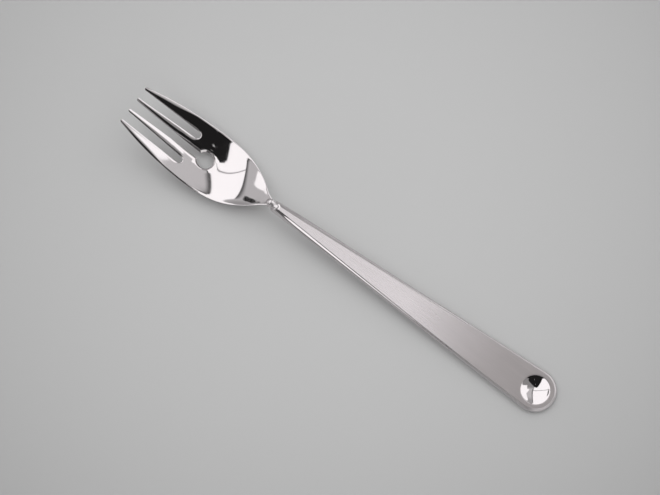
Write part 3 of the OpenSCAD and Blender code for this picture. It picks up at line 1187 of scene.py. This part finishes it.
@dataclass
class Handle:
    """Tapered handle with a brushed flat top, polished shoulders and a polished dimple."""

    joint: Joint
    front_w: float = 4.4
    end_r: float = 8.0
    rest_grind: float = 0.25
    front_corner_r: float = 0.6
    shoulder_front_w: float = 1.6
    shoulder_end_w: float = 1.05
    front_bevel: float = 2.5
    flat_swell: float = 0.3
    belly_front_w: float = 1.6
    belly_end_w: float = 3.0
    nose_drop: float = 1.2
    nose_reach: float = 6.5
    dimple_d: float = 10.8
    dimple_depth: float = 1.2
    dimple_roll: float = 0.18
    edge_break: float = 0.15
    break_share: float = 0.14
    side_drop: float = 0.45
    even_share: float = 0.5
    even_to: float = 0.35
    shoulder_steps: tuple[float, ...] = (0.0, 0.2, 0.35, 0.45, 0.55, 0.65, 0.78, 0.9)
    belly_angles: tuple[float, ...] = (2, 6, 11, 18, 26, 35, 44, 53, 62, 71, 80, 90)
    rim_steps: tuple[float, ...] = (0.9, 0.5, 0.28, 0.14, 0.0, -0.14, -0.3, -0.6)
    rings_from: float = 1.0
    rings_step: float = 0.4
    rim_points: int = 96
    fewest_points: int = 12
    grid_step: float = 1.1
    edge_clear: float = 0.4
    dimple_clear: float = 1.3
    corner_share: float = 0.6
    corner_steps: int = 10
    end_steps: int = 44
    side_steps: int = 55
    swell_gain: float = 6.75
    face_shares: tuple[float, ...] = (0.0, 0.35, 0.7)
    shoulder_dull: float = 0.3
    crease: float = 25.0
    piece: bpy.types.Object | None = field(default=None, init=False)

    @property
    def end_center(self) -> float:
        """Middle of the round end, along the tang."""
        return self.joint.handle_len - self.end_r

    def top_z(self, x: np.ndarray) -> np.ndarray:
        """Height of the top over the line of the tang."""
        return self.joint.top + self.joint.handle_rise * (x / self.joint.handle_len) ** 2

    def thickness(self, x: np.ndarray) -> np.ndarray:
        """Thickness before the underside is ground."""
        front = self.joint.handle_front_t
        return front + (self.joint.handle_end_t + self.rest_grind - front) * x / self.joint.handle_len

    def drop(self, x: np.ndarray) -> np.ndarray:
        """Drop of the polished shoulder to its outer edge, which grows towards the neck."""
        nose = self.nose_drop * np.exp(-((x / self.nose_reach) ** 2))
        return self.joint.shoulder_drop + self.side_drop + nose

    def fall(self, share: float) -> float:
        """Share of the shoulder's drop: an even slope on its inner part, and a steeper one outside."""
        past = max(share - self.even_to, 0.0) / (1 - self.even_to)
        return self.even_share * share + (1 - self.even_share) * past**2

    def tongue(self, front: float, half: float, end_r: float, swell: float = 0.0) -> np.ndarray:
        """Outline of a tapered tongue with round corners and a round end.

        Args:
            front: Its front edge.
            half: Half width there.
            end_r: Radius of the round end.
            swell: Bulge of its sides.

        Returns:
            Points, clockwise from the middle of the front.
        """
        corner = min(self.front_corner_r, half * self.corner_share)
        reach = self.end_center - front
        lean = math.asin(end_r / math.hypot(reach, half)) - math.atan2(half, reach)
        corner_y = half - corner * (1 - math.sin(lean)) / math.cos(lean)
        turn = 90 + math.degrees(lean)
        first = arc((front + corner, corner_y), corner, 180, turn, self.corner_steps)
        last = arc((self.end_center, 0.0), end_r, turn, 0.0, self.end_steps)
        t = np.linspace(0, 1, self.side_steps + 1)[1:-1, None]
        side = first[-1] + (last[0] - first[-1]) * t
        side[:, 1] += swell * self.swell_gain * t[:, 0] ** 2 * (1 - t[:, 0])
        face = np.array([(front, corner_y * s) for s in self.face_shares])
        upper = np.concatenate([face, first, side, last])
        upper[-1, 1] = 0.0
        return np.concatenate([upper, upper[-2:0:-1] * (1, -1)])

    def ring(self, inset: float, brake: float, fall: float) -> np.ndarray:
        """Ring round the top half of the handle.

        Args:
            inset: Share of the shoulder's width inside the outer edge.
            brake: Drop of the broken edge beside the flat top.
            fall: Share of the rest of the shoulder's drop.

        Returns:
            Points along the tang.
        """
        half = self.front_w / 2 - self.shoulder_front_w * inset
        end_r = self.end_r - self.shoulder_end_w * inset
        flat = self.tongue(self.front_bevel * inset, half, end_r, self.flat_swell * inset)
        x = flat[:, 0]
        return np.column_stack([flat, self.top_z(x) - brake - (self.drop(x) - brake) * fall])

    def belly_ring(self, angle: float) -> np.ndarray:
        """Ring of the rounded underside, at an angle from the outer edge (0) to the belly (90)."""
        a = math.radians(angle)
        inset = 1 - math.cos(a)
        half, end_r = self.front_w / 2 - inset * self.belly_front_w, self.end_r - inset * self.belly_end_w
        flat = self.tongue(0.0, half, end_r)
        x = flat[:, 0]
        drop = self.drop(x)
        return np.column_stack([flat, self.top_z(x) - drop - (self.thickness(x) - drop) * math.sin(a)])

    def dimple(self, points: np.ndarray) -> np.ndarray:
        """Depth of the dimple below the top, with a softly rolled rim.

        Args:
            points: Places along and across.

        Returns:
            One depth for each place.
        """
        r = self.dimple_d / 2
        ball = (r * r + self.dimple_depth**2) / (2 * self.dimple_depth)
        away = self.from_dimple(points)
        deep = np.sqrt(np.maximum(ball**2 - away**2, 0.0)) - (ball - self.dimple_depth)
        roll = self.dimple_roll
        return np.where(deep > roll, deep, np.where(deep < -roll, 0.0, (deep + roll) ** 2 / (4 * roll)))

    def rings(self) -> list[np.ndarray]:
        """Rings of points from the edge of the flat top, over the shoulder and down to the belly."""
        flat = 1 - self.break_share
        shoulder = [self.ring(flat * (1 - s), self.edge_break, self.fall(s)) for s in self.shoulder_steps]
        return [self.ring(1.0, 0.0, 0.0), *shoulder, *(self.belly_ring(a) for a in self.belly_angles)]

    def flat_top(self, outline: np.ndarray) -> Plan:
        """Plan of the flat top, with rings round the dimple.

        Args:
            outline: Outline of the top, anticlockwise.

        Returns:
            The filled plan.
        """
        plan = Plan(outline)
        r, middle = self.dimple_d / 2, (self.end_center, 0.0)
        reaches = [r + step for step in self.rim_steps]
        reaches += list(np.arange(r - self.rings_from, self.rings_step, -self.rings_step))
        counts = [max(self.fewest_points, round(self.rim_points * reach / r)) for reach in reaches]
        loops = [arc(middle, reach, 0, 360, count)[:-1] for reach, count in zip(reaches, counts)]
        loose = grid((self.front_bevel, -self.end_r), (self.joint.handle_len, self.end_r), self.grid_step)
        loose = loose[plan.inside(loose)]
        loose = loose[plan.edge_distance(loose) > self.edge_clear]
        loose = loose[self.from_dimple(loose) > r + self.dimple_clear]
        plan.fill(loops, np.concatenate([loose, [middle]]))
        return plan

    def from_dimple(self, points: np.ndarray) -> np.ndarray:
        """Distance of places from the middle of the dimple, seen from above."""
        return np.hypot(points[:, 0] - self.end_center, points[:, 1])

    def build(self) -> None:
        """Makes the mesh of the handle."""
        rings = self.rings()
        n, last = len(rings[0]), (len(rings) - 1) * len(rings[0])
        plan = self.flat_top(rings[0][::-1, :2])
        cap = np.column_stack([plan.points, self.top_z(plan.points[:, 0]) - self.dimple(plan.points)])
        cap_place = [n - 1 - i if i < n else last + i for i in range(len(cap))]
        points = np.concatenate([*rings, cap[n:]])
        faces = [[cap_place[i] for i in t] for t in plan.triangles]
        hollow = self.from_dimple(plan.points[plan.triangles].mean(1)) < self.dimple_d / 2
        kinds = [HandleFace.DIMPLE.value if h else HandleFace.BRUSHED.value for h in hollow]
        for i in range(len(rings) - 1):
            faces += ring_faces(i, n)
        for j in range(n // 2):
            strip = [last + j, last + j + 1, last + (n - j - 1) % n, last + (n - j) % n]
            faces.append(list(dict.fromkeys(strip)))
        faces = [f for f in faces if len(f) > 2]
        kinds += [HandleFace.SHOULDER.value] * (len(faces) - len(kinds))
        places = self.joint.from_tang(points)
        places[:, 2] = np.maximum(places[:, 2], 0.0)
        finishes = {
            HandleFace.BRUSHED: BrushedSteel(),
            HandleFace.SHOULDER: PolishedSteel(name="polished_shoulder", dull=self.shoulder_dull),
            HandleFace.DIMPLE: PolishedSteel(name="polished_dimple"),
        }
        steel = [finishes[face].material() for face in HandleFace]
        self.piece = make_piece("handle_steel", places, faces, steel, kinds, self.crease)

    def dress(self) -> None:
        """Puts the mesh in the place of the solid handle."""
        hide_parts("handle")
        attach(self.piece, "root")
        log.info("%s: %d faces", self.piece.name, len(self.piece.data.polygons))


@dataclass
class BrazeSleeve:
    """Filler metal between the tang and its socket, inside the handle."""

    node: bpy.types.Object

    def dress(self) -> None:
        """Gives the solid its finish."""
        self.node.data.materials.clear()
        self.node.data.materials.append(FillerMetal().material())
        log.info("%s: %d faces", self.node.name, len(self.node.data.polygons))


@dataclass
class Studio:
    """Table, light and camera."""

    turn: float = math.radians(35.592)
    tilt: float = math.radians(76.0)
    distance: float = 0.9
    pixels_per_mm: float = 2.6941
    shift: Span = (4.133, -3.448)
    picture_w: int = 660
    sensor_w: float = 36.0
    table_half: float = 3.0
    table_drop: float = 2e-5

    @property
    def aim(self) -> Vector:
        """Point of the table that the camera looks at."""
        c, s = math.cos(self.turn), math.sin(self.turn)
        right, away = self.shift
        return Vector((-right * c + away * s, -right * s - away * c, 0.0)) * MM

    def build_camera(self) -> None:
        """Places the camera at the picture's viewing angle."""
        data = bpy.data.cameras.new("camera")
        data.sensor_width = self.sensor_w
        data.lens = self.pixels_per_mm * self.distance / MM * self.sensor_w / self.picture_w
        camera = bpy.data.objects.new("camera", data)
        bpy.context.scene.collection.objects.link(camera)
        flat = math.cos(self.tilt)
        back = Vector((flat * math.sin(self.turn), -flat * math.cos(self.turn), math.sin(self.tilt)))
        camera.location = self.aim + back * self.distance
        camera.rotation_mode = "QUATERNION"
        camera.rotation_quaternion = (-back).to_track_quat("-Z", "Y")
        bpy.context.scene.camera = camera

    def build_room(self) -> None:
        """Lays the table."""
        mesh, h = bpy.data.meshes.new("table"), self.table_half
        mesh.from_pydata([(-h, -h, 0), (h, -h, 0), (h, h, 0), (-h, h, 0)], [], [(0, 1, 2, 3)])
        mesh.materials.append(PaleTable().material())
        sheet = bpy.data.objects.new("table", mesh)
        bpy.context.scene.collection.objects.link(sheet)
        sheet.rotation_euler[2] = self.turn
        sheet.location = self.aim + Vector((0.0, 0.0, -self.table_drop))

    def build_light(self) -> None:
        """Lights the table from the tent all round."""
        bpy.context.scene.world = LightTent().build(self.turn)
        bpy.context.scene.view_settings.view_transform = "Standard"


def main() -> None:
    """Builds the fork and its studio."""
    logging.basicConfig(level=logging.INFO, format="%(name)s: %(message)s")
    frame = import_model()
    joint = Joint()
    head = ForkHead(joint)
    head.build()
    head.dress()
    handle = Handle(joint)
    handle.build()
    handle.dress()
    BrazeSleeve(frame["nodes"]["braze_sleeve"]).dress()
    studio = Studio()
    studio.build_room()
    studio.build_light()
    studio.build_camera()


if __name__ == "__main__":
    main()
